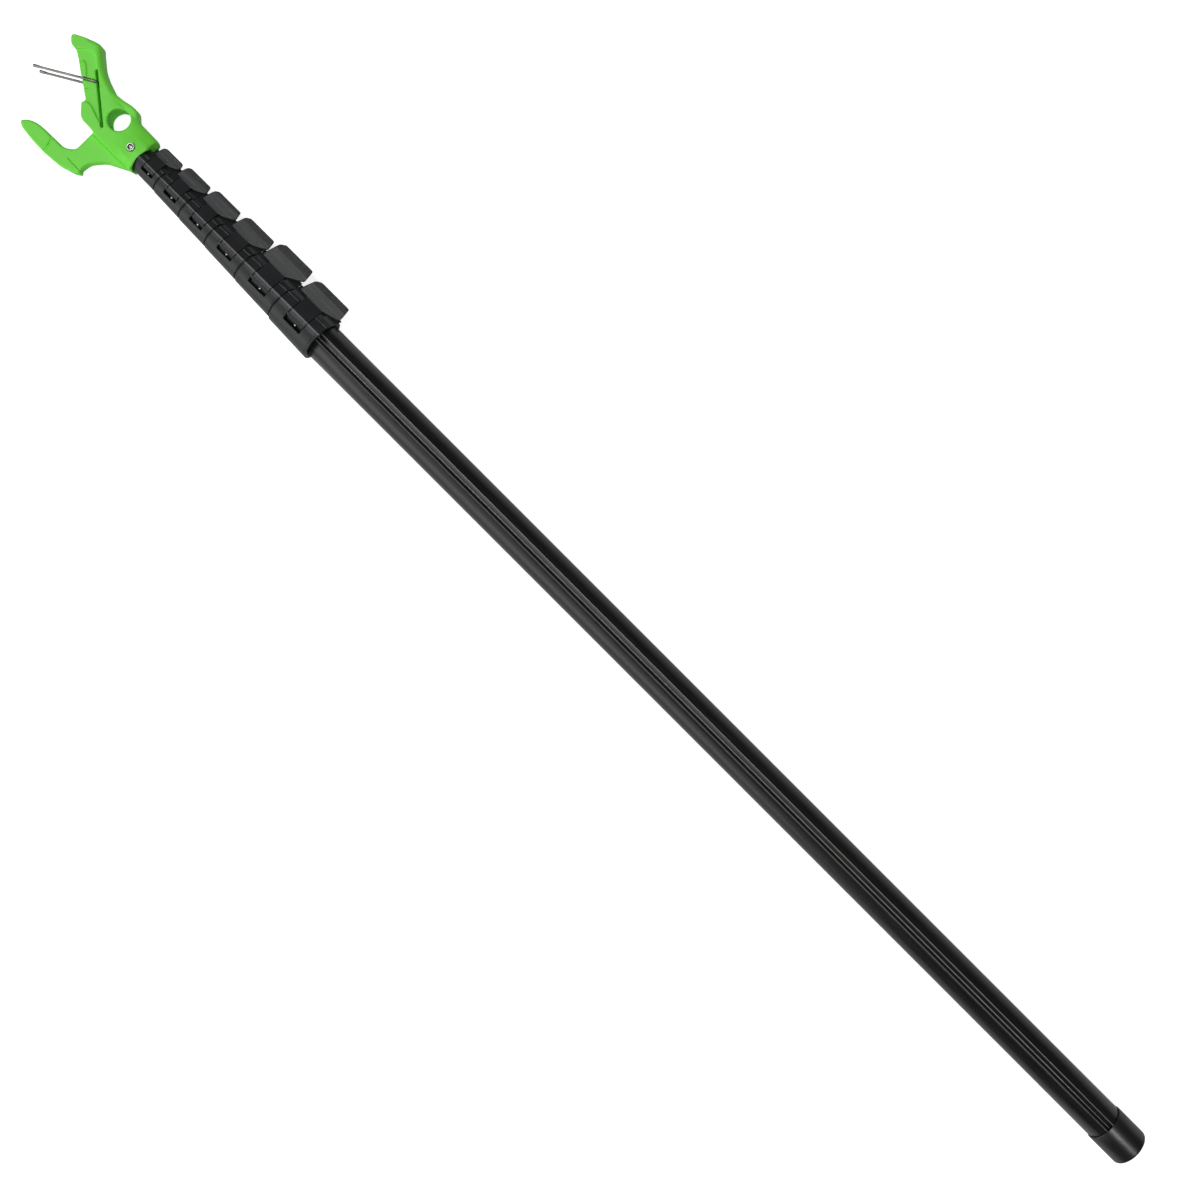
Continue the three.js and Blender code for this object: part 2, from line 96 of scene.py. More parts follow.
def add_node(tree, kind, **settings):
    node = tree.nodes.new(kind)
    for key, value in settings.items():
        if key in node.inputs:
            node.inputs[key].default_value = value
        else:
            setattr(node, key, value)
    return node


def object_noise(tree, scale, detail=3.0, stretch=(1, 1, 1)):
    place = add_node(tree, "ShaderNodeTexCoord")
    mapping = add_node(tree, "ShaderNodeMapping", Scale=stretch)
    noise = add_node(tree, "ShaderNodeTexNoise", Scale=scale, Detail=detail)
    tree.links.new(place.outputs["Object"], mapping.inputs["Vector"])
    tree.links.new(mapping.outputs["Vector"], noise.inputs["Vector"])
    return noise


def ramp(tree, source, low, high, stops=(0.3, 0.7)):
    node = add_node(tree, "ShaderNodeValToRGB")
    node.color_ramp.elements[0].position = stops[0]
    node.color_ramp.elements[1].position = stops[1]
    node.color_ramp.elements[0].color = low
    node.color_ramp.elements[1].color = high
    tree.links.new(source, node.inputs["Fac"])
    return node


def grey(value):
    return (value, value, value, 1.0)


def near_lines(tree, lines, width):
    """1 on lengthwise lines of the +Z side, 0 elsewhere. A line is given as its Y over its Z."""
    place = add_node(tree, "ShaderNodeTexCoord")
    axes = add_node(tree, "ShaderNodeSeparateXYZ")
    tree.links.new(place.outputs["Object"], axes.inputs["Vector"])
    ratio = add_node(tree, "ShaderNodeMath", operation="DIVIDE")
    tree.links.new(axes.outputs["Y"], ratio.inputs[0])
    tree.links.new(axes.outputs["Z"], ratio.inputs[1])
    front = add_node(tree, "ShaderNodeMath", operation="GREATER_THAN")
    front.inputs[1].default_value = 0
    tree.links.new(axes.outputs["Z"], front.inputs[0])
    hits = None
    for line in lines:
        hit = add_node(tree, "ShaderNodeMath", operation="COMPARE")
        hit.inputs[1].default_value = line
        hit.inputs[2].default_value = width
        tree.links.new(ratio.outputs[0], hit.inputs[0])
        if hits:
            both = add_node(tree, "ShaderNodeMath", operation="MAXIMUM")
            tree.links.new(hits.outputs[0], both.inputs[0])
            tree.links.new(hit.outputs[0], both.inputs[1])
            hit = both
        hits = hit
    out = add_node(tree, "ShaderNodeMath", operation="MULTIPLY")
    tree.links.new(hits.outputs[0], out.inputs[0])
    tree.links.new(front.outputs[0], out.inputs[1])
    return out.outputs[0]


def tint(tree, out, amount, colour):
    """Mixes a colour into another by an amount from a socket."""
    mix = add_node(tree, "ShaderNodeMix", data_type="RGBA")
    tree.links.new(amount, mix.inputs[0])
    tree.links.new(out, mix.inputs[6])
    mix.inputs[7].default_value = colour
    return mix.outputs[2]


def finish(name, dark, light, rough, grain, bump,
           stretch=(1, 1, 1), wear_and_highlight=None, painted_highlight=None, **values):
    """A procedural finish: mottled colour, uneven gloss, fine bump, paler edges
    (wear_and_highlight = colour, ramp stops), which are wear and on the black plastic also a
    painted highlight, and painted highlight lines along the pole (painted_highlight = colour,
    lines, width)."""
    mat, tree, shader = principled(name, **values)
    patches = object_noise(tree, PATCH_SCALE, PATCH_DETAIL, stretch)
    colour = ramp(tree, patches.outputs["Fac"], dark, light)
    out = colour.outputs["Color"]
    # Paler edges: wear, and on the black plastic also a painted highlight.
    if wear_and_highlight:
        geometry = add_node(tree, "ShaderNodeNewGeometry")
        edge = ramp(tree, geometry.outputs["Pointiness"], grey(0), grey(1), wear_and_highlight[1])
        out = tint(tree, out, edge.outputs["Color"], wear_and_highlight[0])
    # Painted highlight lines along the pole.
    if painted_highlight:
        out = tint(tree, out, near_lines(tree, painted_highlight[1], painted_highlight[2]), painted_highlight[0])
    tree.links.new(out, shader.inputs["Base Color"])
    gloss = ramp(tree, patches.outputs["Fac"], grey(rough[0]), grey(rough[1]), GLOSS_STOPS)
    tree.links.new(gloss.outputs["Color"], shader.inputs["Roughness"])
    fine = object_noise(tree, grain, GRAIN_DETAIL, stretch)
    relief = add_node(tree, "ShaderNodeBump", Strength=bump, Distance=GRAIN_HEIGHT)
    tree.links.new(fine.outputs["Fac"], relief.inputs["Height"])
    tree.links.new(relief.outputs["Normal"], shader.inputs["Normal"])
    return mat


# Where the ridge stands on each collar, turned from +Z to the lever side.
RIDGE_ANGLE = math.radians(3.7)
# Painted highlight: a paler line along the ridge of each collar and lever, standing in for the top
# lamp's reflection there.
RIDGE_PAINTED_HIGHLIGHT = ((0.13, 0.13, 0.13, 1), [-math.tan(RIDGE_ANGLE)], 0.045)
# Painted highlights: paler lines along the tube, on both lips of its groove and near its middle,
# standing in for their glints.
GROOVE_PAINTED_HIGHLIGHT = ((0.16, 0.16, 0.15, 1), [-0.232, 0.012, 0.208], 0.022)
# Paler edges found by pointiness on the black plastic: partly wear and partly a painted highlight
# that brightens the ridge beads.
WORN_AND_HIGHLIT_BLACK = ((0.03, 0.03, 0.03, 1), (0.56, 0.70))
WORN_GREEN = ((0.22, 0.84, 0.09, 1), (0.54, 0.64))
ALONG_POLE = (1, 14, 14)
LOOKS = {
    "tube": finish(
        "anodised_tube", (0.006, 0.006, 0.006, 1), (0.012, 0.012, 0.012, 1), (0.20, 0.28),
        2600, 0.10, ALONG_POLE, painted_highlight=GROOVE_PAINTED_HIGHLIGHT, Specular_IOR_Level=0.5),
    "collar": finish(
        "collar_plastic", (0.010, 0.012, 0.013, 1), (0.017, 0.019, 0.020, 1), (0.34, 0.44),
        2200, 0.25, wear_and_highlight=WORN_AND_HIGHLIT_BLACK, painted_highlight=RIDGE_PAINTED_HIGHLIGHT, Specular_IOR_Level=0.45),
    "lever": finish(
        "lever_plastic", (0.011, 0.012, 0.013, 1), (0.018, 0.019, 0.021, 1), (0.34, 0.44),
        2200, 0.25, wear_and_highlight=WORN_AND_HIGHLIT_BLACK, painted_highlight=RIDGE_PAINTED_HIGHLIGHT, Specular_IOR_Level=0.45),
    "steel": finish(
        "spring_steel", (0.14, 0.14, 0.135, 1), (0.32, 0.31, 0.30, 1), (0.22, 0.38),
        1800, 0.2, Metallic=1.0),
    "shoe": finish(
        "shoe_steel", (0.03, 0.03, 0.032, 1), (0.06, 0.06, 0.065, 1), (0.3, 0.45),
        1800, 0.2, Metallic=0.9),
    "plug": finish(
        "plug_plastic", (0.015, 0.015, 0.016, 1), (0.025, 0.025, 0.026, 1), (0.45, 0.6),
        2200, 0.25),
    "cap": finish(
        "cap_plastic", (0.004, 0.004, 0.005, 1), (0.006, 0.006, 0.007, 1), (0.32, 0.38),
        1600, 0.08, Specular_IOR_Level=0.9),
    "head": finish(
        "green_plastic", (0.160, 0.760, 0.048, 1), (0.185, 0.810, 0.060, 1), (0.38, 0.50),
        1500, 0.12, wear_and_highlight=WORN_GREEN, Specular_IOR_Level=0.4),
}
# A near-white finish for the stud in each collar's window: pale zinc, made whiter as a painted
# highlight for its glint.
STUD = finish(
    "stud_pale_painted_highlight", (0.62, 0.62, 0.61, 1), (0.86, 0.86, 0.84, 1), (0.35, 0.5),
    1500, 0.1, Metallic=0.2)
BRIGHT = finish(
    "bright_steel", (0.50, 0.50, 0.49, 1), (0.64, 0.64, 0.63, 1), (0.26, 0.38),
    1500, 0.1, Metallic=1.0)
for name, node in NODES.items():
    node.data.materials.clear()
    node.data.materials.append(LOOKS[SLOT_OF[name]])


# ---------------------------------------------------------------- sculpting with distance fields
# A field holds each grid point's distance to a surface in millimetres, negative inside the solid.
def join(a, b, r=0.0):
    """Both solids, with a fillet of radius r where they meet."""
    if r == 0:
        return np.minimum(a, b)
    u = np.maximum(r - a, 0)
    v = np.maximum(r - b, 0)
    return np.maximum(r, np.minimum(a, b)) - np.sqrt(u * u + v * v)


def common(a, b, r=0.0):
    """What the two solids share, with its edges rounded to radius r."""
    if np.isscalar(r) and r == 0:
        return np.maximum(a, b)
    u = np.maximum(r + a, 0)
    v = np.maximum(r + b, 0)
    return np.minimum(-r, np.maximum(a, b)) + np.sqrt(u * u + v * v)


def cut(a, b, r=0.0):
    """The first solid without the second, with its new edges rounded to radius r."""
    return common(a, -b, r)


def nearest(sides, x, y):
    """Distance from (x, y) to the nearest of some straight sides."""
    near = np.full(np.broadcast(x, y).shape, 1e9)
    for (ax, ay), (bx, by) in sides:
        ex, ey = bx - ax, by - ay
        wx, wy = x - ax, y - ay
        t = np.clip((wx * ex + wy * ey) / (ex * ex + ey * ey + 1e-12), 0, 1)
        near = np.minimum(near, (wx - ex * t) ** 2 + (wy - ey * t) ** 2)
    return np.sqrt(near)


def line_distance(points, x, y):
    """Distance from (x, y) to an open line."""
    return nearest(zip(points[:-1], points[1:]), x, y)


def outline_distance(points, x, y):
    """Signed distance from (x, y) to a closed outline."""
    sides = list(zip(points, np.roll(points, -1, axis=0)))
    inside = np.zeros(np.broadcast(x, y).shape, bool)
    for (ax, ay), (bx, by) in sides:
        if ay != by:
            inside ^= ((ay > y) != (by > y)) & (x < ax + (y - ay) * (bx - ax) / (by - ay))
    return np.where(inside, -1, 1) * nearest(sides, x, y)


def grid(low, high, step):
    """Grid points from low to high, as three arrays that broadcast together."""
    axes = [np.arange(a, b + step, step) for a, b in zip(low, high)]
    return axes[0][:, None, None], axes[1][None, :, None], axes[2][None, None, :]


def net_mesh(name, field, low, step):
    """One closed smooth mesh of a field's zero surface, with a point in each cell it crosses."""
    cells = tuple(n - 1 for n in field.shape)
    total = np.zeros(cells + (3,), np.float32)
    count = np.zeros(cells, np.float32)
    edges = []
    for axis in range(3):
        others = [k for k in range(3) if k != axis]
        first = [slice(None)] * 3
        second = [slice(None)] * 3
        first[axis] = slice(0, -1)
        second[axis] = slice(1, None)
        a, b = field[tuple(first)], field[tuple(second)]
        crossed = (a < 0) != (b < 0)
        share = np.where(crossed, a / np.where(crossed, a - b, 1), 0)
        edges.append((crossed, a < 0))
        for i in (0, 1):
            for j in (0, 1):
                window = [slice(None)] * 3
                window[others[0]] = slice(i, i + cells[others[0]])
                window[others[1]] = slice(j, j + cells[others[1]])
                here = crossed[tuple(window)]
                count += here
                total[..., axis] += share[tuple(window)]
                total[..., others[0]] += i * here
                total[..., others[1]] += j * here
    used = count > 0
    index = np.full(cells, -1, np.int64)
    index[used] = np.arange(int(used.sum()))
    points = (np.array(low) + step * (np.argwhere(used) + total[used] / count[used][:, None])) * MM
    faces = []
    for axis, (crossed, starts_inside) in enumerate(edges):
        u, v = [k for k in range(3) if k != axis]
        inner = [slice(None)] * 3
        inner[u] = slice(1, -1)
        inner[v] = slice(1, -1)
        at = np.argwhere(crossed[tuple(inner)])
        at[:, u] += 1
        at[:, v] += 1
        ring = []
        for du, dv in ((-1, -1), (0, -1), (0, 0), (-1, 0)):
            cell = at.copy()
            cell[:, u] += du
            cell[:, v] += dv
            ring.append(index[tuple(cell.T)])
        quads = np.stack(ring, 1)
        turn = starts_inside[tuple(at.T)]
        if axis != 1:
            turn = ~turn
        quads[turn] = quads[turn][:, ::-1]
        faces.append(quads)
    faces = np.concatenate(faces)
    mesh = bpy.data.meshes.new(name)
    mesh.from_pydata(points.tolist(), [], faces.tolist())
    mesh.polygons.foreach_set("use_smooth", np.ones(len(faces), bool))
    mesh.update()
    return mesh


def show(mesh, node, material=None):
    """Puts a finished mesh in the scene in place of a CAD node, on the node's body."""
    piece = bpy.data.objects.new("v_" + node, mesh)
    bpy.context.scene.collection.objects.link(piece)
    mesh.materials.append(material or LOOKS[SLOT_OF[node]])
    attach(piece, BODY_OF[node])
    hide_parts(node)
    return piece


def arc(cy, cz, radius, start, end, steps):
    """Points along an arc round (cy, cz), both ends included."""
    angles = np.linspace(start, end, steps + 1)
    return [(cy + radius * math.cos(a), cz + radius * math.sin(a)) for a in angles]


# The share of a side that one rounded corner may use up.
CORNER_SHARE = 0.45


def rounded(points, radius, steps=5):
    """The outline with every corner turned into a curve, where its sides leave room."""
    out = []
    for i, point in enumerate(points):
        here = np.array(point, float)
        before = np.array(points[i - 1], float) - here
        after = np.array(points[(i + 1) % len(points)], float) - here
        room = [np.linalg.norm(side) for side in (before, after)]
        reach = min(radius, room[0] * CORNER_SHARE, room[1] * CORNER_SHARE)
        a = here + before / room[0] * reach
        b = here + after / room[1] * reach
        for t in np.linspace(0, 1, steps + 1):
            out.append(tuple((1 - t) ** 2 * a + 2 * t * (1 - t) * here + t * t * b))
    return out


# ---------------------------------------------------------------- head
# Plans are [distance from the head's base, distance to the hook side], in millimetres.
HEAD_START = box_mm("head_body")[0][0]
HEAD_GRID = ((-1.5, -39.5, -11.8), (99, 47.5, 11.8))
HEAD_STEP = 0.42

# The body: half thicknesses, and how far along the thicker base reaches and fades.
BODY_HALF = 7.5
BASE_HALF = 10.0
BASE_LENGTH = 9.0
BASE_FADE = 20.0
BASE_DROP = 3.4
# The lever side of the body falls away to its rim, which fades out past the eye.
FALL_DEPTH = 2.2
FALL_START = 8.5
FALL_WIDTH = 9
FALL_END = 52
FALL_FADE = 20
WEB_HALF = 4.0
JAW_HALF = 5.8
PAD_RISE = 0.7
FINGER_TIP = ([30, 33, 46], [59.5, 57.6, 53.6])
FINGER_DROP = 0.35

# The collar nose in the base, and the lines that ridge and facet make round the pole.
NOSE_RADIUS = 9.1
TUCKED_NOSE = 3.5
NOSE_GAP = 0.3
FACET_END = math.radians(31)
BEAD_RADIUS = 0.9

# The eye: place and bore radius. The screw: place, and the radii of its hole and seat.
EYE = (31.1, -8.7, 8.0)
EYE_EDGE = 1.5
SCREW = (10.3, -1.1)
SCREW_HOLE = 2.2
SCREW_SEAT = 3.3
SEAT_DEPTH = 1.2
SOCKET_DEPTH = 22.3
NOTCH_DEPTH = 1.2
NOTCH_REACH = 8.5
NOTCH_HALF = 4.0
TRIM_DEPTH = 1.6
TRIM_START = 8
TRIM_WIDTH = 3

WIRE_RADIUS = 0.75
WIRE_SPREAD = 5.7
WIRE_GAP = 0.3
WIRE_PLAN = [(60.9, -17.2), (96.4, 3.8), (101.4, 6.6)]
HEEL_RADIUS = 2.8
HEEL_HALF = 3.4
SLOT = [(36.3, 3.0), (67.0, -22.2)]
SLOT_HALF = 1.1

# The tubes, and the gap round one inside another piece.
TUBE_RADII = [14 - 1.5 * i for i in range(7)]
TUBE_GAP = 0.2
GROOVE_DEPTH = 2.2
GROOVE_HALF = 0.6
GROOVE_SLOPE = math.tan(math.radians(55))

BODY_PLAN = [
    (0, 10.8), (37, 10.8), (40, 9.9), (50, 9.6), (53.4, 7.3), (59, 1), (58, -2),
    (83.4, -19.8), (87.6, -22.5), (93, -22.8), (97.6, -27.6), (95.8, -29.8), (84, -35.8),
    (78, -37.4), (74.6, -34), (65.9, -26.9), (59.5, -23.6), (48.5, -19.8), (40, -20.6),
    (32, -22.4), (27, -22.4), (22, -17.4), (0, -16.7),
]
HOOK_PLAN = [
    (39.4, 8), (39.4, 27.9), (46.4, 32.8), (57, 33), (70.4, 33.2), (77.6, 35.6), (82.4, 40.3),
    (79, 43.3), (66, 44.9), (54, 45.3), (41, 44.2), (28.6, 40.4), (25, 37.6), (27, 35.6),
    (26, 28.2), (18.6, 19.4), (0.4, 10.1), (0.4, 8),
]
JAW_RECESS = [
    (39.5, 2.2), (51.8, -1.9), (56, -2), (61, 3), (92, -19), (86.5, -24.6), (82.2, -28.2),
    (77.8, -29.8), (74, -28.9), (66.5, -21.6), (37.6, 1.4),
]
LEVER_SIDE = [
    (22, -17.4), (27, -22.4), (32, -22.4), (40, -20.6), (48.5, -19.8), (59.5, -23.6),
    (65.9, -26.9), (74.6, -34), (78, -37.4), (84, -35.8),
]
JAW_PAD = [
    (70.5, -10.6), (76.6, -15.2), (79.2, -18.4), (79, -20.6), (77, -21), (74.6, -19.4),
    (69, -14.4),
]
JAW_MARK = [(65.6, -6.6), (62.8, -9.6)]
FINGER_CREASE = [(58.4, 32.2), (56.4, 36), (55, 40), (54.4, 46)]
BARB_GROOVE = [(25.6, 35.9), (38.2, 35.7)]
WEB_FOOT = [(2, 11.3), (39, 11.3)]
# Engraved lines: plan, half width, depth, and the height of the face that they are cut into.
ENGRAVED = (
    (FINGER_CREASE, 0.7, 1.1, WEB_HALF),
    (WEB_FOOT, 0.55, 0.8, WEB_HALF),
    (BARB_GROOVE, 0.6, 0.8, WEB_HALF),
    (JAW_MARK, 0.35, 0.4, JAW_HALF),
)
# The upper front quarter of the base's cross section, and its rim on the lever side.
BASE_QUARTER = [(10.8, 7.2), (6, 9.7), (-1.1, BASE_HALF), (-9, 9.1), (-14.4, 7), (-16.9, 3)]


def grooved_outline(radius, floor, steps=72):
    """A round outline with the lengthwise groove on its +Z side."""
    a = 1 + GROOVE_SLOPE ** 2
    offset = GROOVE_HALF - GROOVE_SLOPE * floor
    b = 2 * GROOVE_SLOPE * offset
    c = offset ** 2 - radius ** 2
    lip_z = (-b + math.sqrt(b * b - 4 * a * c)) / (2 * a)
    lip = math.atan2(lip_z, GROOVE_HALF + GROOVE_SLOPE * (lip_z - floor))
    return arc(0, 0, radius, math.pi - lip, 2 * math.pi + lip, steps) + [
        (GROOVE_HALF, floor), (-GROOVE_HALF, floor)]


def on_circle(radius, angle):
    """The (y, z) point at an angle turned from +Z to the lever side."""
    return (-radius * math.sin(angle), radius * math.cos(angle))


def nose_outline(radius):
    """Round, but for the flat facet beside the ridge."""
    return arc(0, 0, radius, math.pi / 2 + RIDGE_ANGLE, -1.5 * math.pi + FACET_END, 72)


def tube_hole(i):
    """The outline of a hole that a tube fits in."""
    return grooved_outline(TUBE_RADII[i] + TUBE_GAP, TUBE_RADII[i] - GROOVE_DEPTH + TUBE_GAP)


def make_head(step):
    low = HEAD_GRID[0]
    x, y, z = grid(*HEAD_GRID, step)
    height = np.abs(z)
    # The edges are crisp, but softly rounded along the lever side.
    outer = line_distance(LEVER_SIDE, x, y)
    edge = 0.6 + 3.0 * np.clip(1.6 - outer / 4, 0, 1)
    body = common(outline_distance(rounded(BODY_PLAN, 2.2), x, y), height - BODY_HALF, edge)
    fall = (np.clip((-y - FALL_START) / FALL_WIDTH, 0, 1) ** 2
            * np.clip((FALL_END - x) / FALL_FADE, 0, 1))
    body = common(body, height - BODY_HALF + FALL_DEPTH * fall, 1.5)
    section = rounded(BASE_QUARTER + [(side, -up) for side, up in reversed(BASE_QUARTER)], 2.2)
    sink = BASE_DROP * np.clip((x - BASE_LENGTH) / BASE_FADE, 0, 1)
    base = outline_distance(section, y, height + sink)
    base = common(base, np.maximum(x - BASE_LENGTH - BASE_FADE, -x), 0.6)
    body = join(body, base, 2.0)
    hook = outline_distance(rounded(HOOK_PLAN, 3.2), x, y)
    tip = np.clip((x - np.interp(y, *FINGER_TIP)) / 1.2, 0, 1)
    hook = common(hook, height - WEB_HALF + FINGER_DROP * tip, 1.5)
    head = join(body, hook, 0.5)
    # Recess of the flexible jaw, with its raised pad and mark.
    recess = outline_distance(rounded(JAW_RECESS, 1.2), x, y)
    pad = outline_distance(rounded(JAW_PAD, 1.2), x, y)
    floor = JAW_HALF + PAD_RISE * np.clip(0.5 - pad / 0.6, 0, 1)
    head = cut(head, common(recess, floor - height), 0.35)
    for line, half, depth, top in ENGRAVED:
        head = cut(head, common(line_distance(line, x, y) - half, top - depth - height), 0.25)
    head = cut(head, line_distance(SLOT, x, y) - SLOT_HALF, 0.35)
    head = cut(head, np.hypot(x - EYE[0], y - EYE[1]) - EYE[2], EYE_EDGE)
    # Grooves for the wire's legs, a long shallow one and a deep relief beside the slot.
    leg = line_distance(WIRE_PLAN[:2], x, y) - (WIRE_RADIUS + WIRE_GAP)
    heel = np.hypot(x - WIRE_PLAN[0][0], y - WIRE_PLAN[0][1]) - HEEL_RADIUS
    wall = WIRE_SPREAD - WIRE_RADIUS - WIRE_GAP
    head = cut(head, common(leg, wall - height), 0.2)
    head = cut(head, common(common(leg, heel), HEEL_HALF - height), 0.2)
    # Sockets for the innermost tube and the last collar's nose, a notch in the base's rim,
    # its trimmed corner on the lever side, and the screw's hole and seat.
    socket = common(outline_distance(tube_hole(6), y, z), x - SOCKET_DEPTH)
    head = cut(head, socket, 0.3)
    nose = outline_distance(nose_outline(NOSE_RADIUS), y, z)
    head = cut(head, common(nose - NOSE_GAP, x - TUCKED_NOSE), 0.2)
    notch = x - NOTCH_DEPTH * np.clip(1 - np.abs(y - SCREW[1]) / NOTCH_REACH, 0, 1) - 0.2
    head = cut(head, common(notch, NOTCH_HALF - height), 0.3)
    head = cut(head, x - TRIM_DEPTH * np.clip((-y - TRIM_START) / TRIM_WIDTH, 0, 1) - 0.05, 2.6)
    screw = np.hypot(x - SCREW[0], y - SCREW[1])
    head = cut(head, common(screw - SCREW_HOLE, -z))
    head = cut(head, common(screw - SCREW_SEAT, BASE_HALF - SEAT_DEPTH - z), 0.25)
    mesh = net_mesh("head_body", head, low, step)
    mesh.transform(Matrix.Translation((HEAD_START * MM, 0, 0)))
    show(mesh, "head_body")


make_head(HEAD_STEP)


# ---------------------------------------------------------------- locking collars and their levers
# One row a collar, from the butt: end radii, lug width and lever tip as in the CAD, the ends of
# the lever's hub as shares of the collar's length, and the paddle's slant as a share of its width.
COLLARS = [
    (17.3, 15.9, 18.5, 29.1, (0.30, 0.70), 0.76),
    (15.0, 13.7, 18.0, 30.0, (0.26, 0.70), 0.6),
    (13.4, 12.2, 17.8, 25.7, (0.26, 0.68), 0.6),
    (11.9, 11.1, 16.8, 23.4, (0.26, 0.68), 0.6),
    (10.8, 9.9, 15.5, 21.1, (0.26, 0.68), 0.6),
    (9.5, 9.1, 14.0, 18.7, (0.26, 0.75), 0.6),
]
COLLAR_STEP = 0.36
LEVER_STEP = 0.34
# Room between a collar and its grid's ends and sides.
END_ROOM = 0.9
SIDE_ROOM = 1.2
SLEEVE_SHARE = 0.22
FACET_TILT = (RIDGE_ANGLE + FACET_END) / 2
SHOE_THICKNESS = 0.5
SEAM = 0.35
# The dark step at the butt end of all collars but the first, as length and depth.
STEP = (0.8, 1.0)
# The fine lip line round the butt end of the first two, as place, half width and depth.
LIP = (1.5, 0.2, 0.4)
# The lug's sloping top, as shares of the radius: height at its outer edge, rise, inner end.
LUG_TOP, LUG_RISE, LUG_END = 0.12, 0.32, 0.6
BORE_WALL = 1.0
# The pin's radius as a share of the cam's, the gap round it, and its reach past the hub.
PIN_SHARE, PIN_GAP, PIN_REACH = 0.6, 0.12, 2.3
PLATE_THICKNESS = 1.9
RIB_PITCH = 1.3
RIB_HEIGHT = 0.22
RIBBED_SHARE = 0.36


class Clamp:
    """The shared measures of one collar, its lever and its shoe, in millimetres from the
    collar's start."""

    def __init__(self, i):
        low, high = box_mm(f"collar_{i + 1}")
        self.butt, self.nose, self.lug, self.tip, hub, self.slant = COLLARS[i]
        self.start = low[0]
        self.length = high[0] - low[0] - (TUCKED_NOSE if i == 5 else 0)
        self.radius = (self.butt + self.nose) / 2
        self.grip = TUBE_RADII[i + 1]
        self.heel = (self.radius - self.grip - 0.4 - SHOE_THICKNESS) / 2
        self.near = 0.29 * self.radius
        self.far = 0.49 * self.radius
        self.pin_y = self.near - self.heel
        self.pin_z = math.sqrt((self.radius - self.heel) ** 2 - self.pin_y ** 2)
        self.arm = 1.3 * self.heel
        self.root = 0.62 * self.radius + 3.6
        self.facet = math.cos((FACET_END - RIDGE_ANGLE) / 2) * self.radius
        self.hub = (hub[0] * self.length, hub[1] * self.length)
        self.under = -0.05 * self.radius

    def facet_height(self, distance, y):
        """The height over y of the plane along the facet, at a distance from the pole's axis."""
        return (distance + y * math.sin(FACET_TILT)) / math.cos(FACET_TILT)

    def section(self):
        """The collar's outline at its middle: round, with the lug and the facet."""
        r, lug = self.radius, self.lug
        return arc(0, 0, r, math.pi / 2 + RIDGE_ANGLE, -math.pi - 0.09, 64) + [
            (-lug + 0.6, -0.1 * r), (-lug, 0.02 * r), (-lug, 0.3 * r), (-lug + 1.2, 0.42 * r),
            (-0.82 * r, 0.46 * r), on_circle(0.92 * r, math.radians(50)),
            on_circle(0.92 * r, math.radians(34)), on_circle(r, FACET_END),
        ]


def beads(c, y, z):
    """Two fine raised lines: the ridge, and the far edge of the facet."""
    ridge_y, ridge_z = on_circle(c.radius - 0.55, RIDGE_ANGLE)
    edge_y, edge_z = on_circle(c.radius - 0.5, FACET_END)
    return (np.hypot(y - ridge_y, z - ridge_z) - BEAD_RADIUS,
            np.hypot(y - edge_y, z - edge_z) - 0.8 * BEAD_RADIUS)


def pin_hole(c, y, z):
    return np.hypot(y - c.pin_y, z - c.pin_z) - PIN_SHARE * c.heel - PIN_GAP


def make_collar(i, step):
    c = Clamp(i)
    low = (-END_ROOM, -c.lug - SIDE_ROOM, -c.butt - SIDE_ROOM)
    high = (c.length + TUCKED_NOSE + END_ROOM, c.butt + SIDE_ROOM, c.butt + SIDE_ROOM)
    x, y, z = grid(low, high, step)
    scale = (c.butt + (c.nose - c.butt) * x / c.length) / c.radius
    ys, zs = y / scale, z / scale
    outer = outline_distance(c.section(), ys, zs) * scale
    ridge, edge = beads(c, ys, zs)
    outer = join(join(outer, ridge, 0.15), edge, 0.15)
    body = common(outer, -x, 0.3)
    if i:  # the step at the butt end makes the dark line at each joint
        body = cut(body, np.maximum(x - STEP[0], -outer - STEP[1]), 0.2)
    body = common(body, x - c.length, 0.6)
    if i == 5:  # the last nose has no lug and reaches into the head
        nose = outline_distance(nose_outline(c.nose), y, z)
        ends = np.maximum(c.length - 1 - x, x - c.length - TUCKED_NOSE)
        body = join(body, common(nose, ends, 0.4))
    if i < 2:
        body = cut(body, np.maximum(np.abs(x - LIP[0]) - LIP[1], -outer - LIP[2]))
    sleeve = outline_distance(tube_hole(i), y, z)
    bore = outline_distance(tube_hole(i + 1), y, z)
    body = cut(body, common(sleeve, x - SLEEVE_SHARE * c.length), 0.25)
    body = cut(body, bore, 0.2)
    # The pocket for the lever's arm and the window beside it.
    floor = c.facet - c.arm - 0.3
    side = -c.root - 12
    pocket = outline_distance([
        (c.far, 40), (c.far, 0.5 * c.grip), (c.under, 0.5 * c.grip),
        (c.under, c.facet_height(floor, c.under)), (side, c.facet_height(floor, side)),
        (side, 40)], y, z)
    pocket = common(pocket, np.maximum(c.hub[0] - SEAM - x, x - c.hub[1] - SEAM))
    body = cut(body, pocket, 0.2)
    # The lug's top slopes down to its outer edge, clear of the wall round the bore.
    tilt = LUG_RISE * c.radius / (c.lug - LUG_END * c.radius)
    slope = (LUG_TOP * c.radius + tilt * (y + c.lug) - z) / math.hypot(1, tilt)
    core = np.maximum(y + LUG_END * c.radius, slope)
    wall = np.minimum(bore, np.where(x < SLEEVE_SHARE * c.length + 1, sleeve, 99))
    body = cut(body, np.maximum(core, BORE_WALL - wall), 0.4)
    ends = np.maximum(c.hub[0] - PIN_REACH - x, x - c.hub[1] - PIN_REACH)
    body = cut(body, common(pin_hole(c, y, z), ends))
    mesh = net_mesh(f"collar_{i + 1}", body, low, step)
    mesh.transform(Matrix.Translation((c.start * MM, 0, 0)))
    show(mesh, f"collar_{i + 1}")


